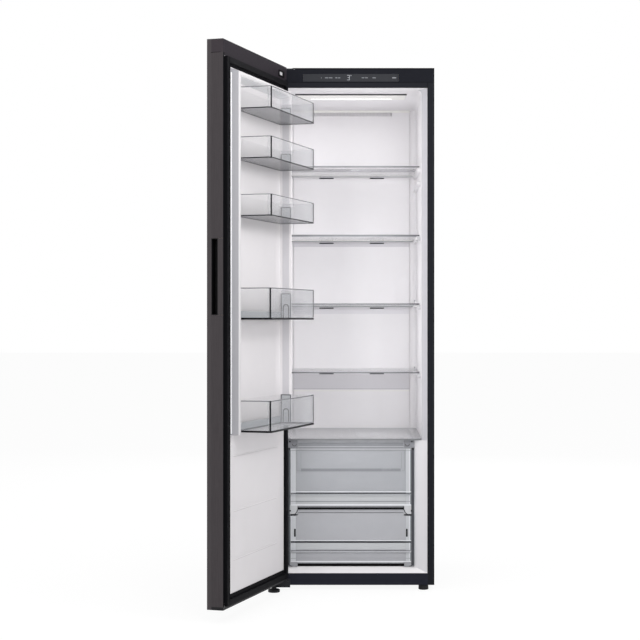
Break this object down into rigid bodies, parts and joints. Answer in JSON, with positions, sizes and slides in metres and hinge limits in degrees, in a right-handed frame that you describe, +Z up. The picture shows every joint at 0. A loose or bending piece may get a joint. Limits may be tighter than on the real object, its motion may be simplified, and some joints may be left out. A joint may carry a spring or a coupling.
{
  "type": "single-door larder refrigerator",
  "caption": "Tall single-door built-in refrigerator with hinged door, sliding glass shelves, drawers, lift-out door bins, top display strip and rear machine compartment.",
  "frame": {"origin": "on the floor below the middle of the cabinet's front edge", "axes": "+X to the right seen from the front, +Y into the cabinet, +Z up"},
  "size_m": [0.7507, 1.2546, 1.86],
  "materials": {
    "steel_dark": "satin",
    "steel_bare": "satin",
    "cover_dark": "satin",
    "display_glass": "gloss",
    "board_green": "satin",
    "liner_white": "satin",
    "foam_cream": "matte",
    "duct_white": "satin",
    "aluminium": "satin",
    "heater_steel": "satin",
    "motor_dark": "matte",
    "fan_dark": "satin",
    "lamp_white": "frosted",
    "compressor_black": "satin",
    "rubber_black": "matte",
    "copper": "satin",
    "hinge_steel": "satin",
    "screw_steel": "gloss",
    "shelf_glass": "gloss",
    "rail_grey": "satin",
    "drawer_clear": "gloss",
    "bin_clear": "gloss",
    "door_paint": "satin",
    "cap_grey": "satin",
    "plastic_black": "satin",
    "bush_white": "matte"
  },
  "bodies": {
    "cabinet": {"left_side_panel": "steel_dark", "right_side_panel": "steel_dark", "back_panel": "steel_bare", "top_panel": "steel_dark", "bottom_plate": "steel_bare", "front_top_rail": "steel_dark", "front_bottom_rail": "steel_dark", "top_front_cover": "cover_dark", "display_window": "display_glass", "circuit_boards": "board_green", "inner_liner": "liner_white", "insulation_foam": "foam_cream", "back_duct_panel": "duct_white", "evaporator": "aluminium", "defrost_heater": "heater_steel", "evaporator_fan_motor": "motor_dark", "lamp_lens": "lamp_white", "compressor_base": "steel_bare", "compressor": "compressor_black", "compressor_grommets": "rubber_black", "condenser": "aluminium", "condenser_fan_shroud": "fan_dark", "condenser_fan_motor": "motor_dark", "drain_pan": "motor_dark", "drain_tube": "bush_white", "refrigerant_tubes": "copper", "machine_cover": "steel_bare", "upper_hinge_bracket": "hinge_steel", "lower_hinge_bracket": "hinge_steel", "hinge_screws": "screw_steel", "hinge_side_foot": "plastic_black", "free_side_foot": "plastic_black", "roller_axles": "screw_steel", "drawer_rails": "rail_grey", "crisper_cover": "shelf_glass"},
    "door": {"door_front_panel": "door_paint", "door_side_profiles": "cap_grey", "door_top_cap": "cap_grey", "door_bottom_cap": "plastic_black", "door_foam": "foam_cream", "door_liner": "liner_white", "door_gasket": "rubber_black", "door_bushes": "bush_white", "door_switch_magnet": "rail_grey", "handle_pocket": "plastic_black"},
    "evaporator_fan": {"evaporator_fan": "fan_dark"},
    "condenser_fan": {"condenser_fan": "fan_dark"},
    "left_rear_roller": {"left_rear_roller": "plastic_black"},
    "right_rear_roller": {"right_rear_roller": "plastic_black"},
    "shelf_1": {"shelf_1": "shelf_glass"},
    "shelf_2": {"shelf_2": "shelf_glass"},
    "shelf_3": {"shelf_3": "shelf_glass"},
    "shelf_4": {"shelf_4": "shelf_glass"},
    "upper_drawer": {"upper_drawer": "drawer_clear"},
    "lower_drawer": {"lower_drawer": "drawer_clear"},
    "door_bin_1": {"door_bin_1": "bin_clear"},
    "door_bin_2": {"door_bin_2": "bin_clear"},
    "door_bin_3": {"door_bin_3": "bin_clear"},
    "door_bin_4": {"door_bin_4": "bin_clear"},
    "door_bin_5": {"door_bin_5": "bin_clear"}
  },
  "joints": [
    {"name": "door_hinge", "type": "hinge", "parent": "cabinet", "child": "door", "pos_m": [-0.2745, -0.055, 0.95], "axis": [0, 0, 1], "range_deg": [-13, 107]},
    {"name": "upper_drawer_slide", "type": "slide", "parent": "cabinet", "child": "upper_drawer", "axis": [0, 1, 0], "range_m": [-0.3, 0]},
    {"name": "lower_drawer_slide", "type": "slide", "parent": "cabinet", "child": "lower_drawer", "axis": [0, 1, 0], "range_m": [-0.25, 0]},
    {"name": "shelf_1_slide", "type": "slide", "parent": "cabinet", "child": "shelf_1", "axis": [0, 1, 0], "range_m": [-0.15, 0]},
    {"name": "shelf_2_slide", "type": "slide", "parent": "cabinet", "child": "shelf_2", "axis": [0, 1, 0], "range_m": [-0.15, 0]},
    {"name": "shelf_3_slide", "type": "slide", "parent": "cabinet", "child": "shelf_3", "axis": [0, 1, 0], "range_m": [-0.15, 0]},
    {"name": "shelf_4_slide", "type": "slide", "parent": "cabinet", "child": "shelf_4", "axis": [0, 1, 0], "range_m": [-0.15, 0]},
    {"name": "door_bin_1_lift", "type": "slide", "parent": "door", "child": "door_bin_1", "axis": [0, 0, 1], "range_m": [0, 0.018]},
    {"name": "door_bin_2_lift", "type": "slide", "parent": "door", "child": "door_bin_2", "axis": [0, 0, 1], "range_m": [0, 0.018]},
    {"name": "door_bin_3_lift", "type": "slide", "parent": "door", "child": "door_bin_3", "axis": [0, 0, 1], "range_m": [0, 0.018]},
    {"name": "door_bin_4_lift", "type": "slide", "parent": "door", "child": "door_bin_4", "axis": [0, 0, 1], "range_m": [0, 0.018]},
    {"name": "door_bin_5_lift", "type": "slide", "parent": "door", "child": "door_bin_5", "axis": [0, 0, 1], "range_m": [0, 0.018]},
    {"name": "evaporator_fan_spin", "type": "hinge", "parent": "cabinet", "child": "evaporator_fan", "pos_m": [0, 0.574, 0.98], "axis": [0, 1, 0], "continuous": true},
    {"name": "condenser_fan_spin", "type": "hinge", "parent": "cabinet", "child": "condenser_fan", "pos_m": [-0.048, 0.531, 0.1155], "axis": [1, 0, 0], "continuous": true},
    {"name": "left_roller_spin", "type": "hinge", "parent": "cabinet", "child": "left_rear_roller", "pos_m": [-0.255, 0.595, 0.017], "axis": [1, 0, 0], "continuous": true},
    {"name": "right_roller_spin", "type": "hinge", "parent": "cabinet", "child": "right_rear_roller", "pos_m": [0.255, 0.595, 0.017], "axis": [1, 0, 0], "continuous": true}
  ]
}
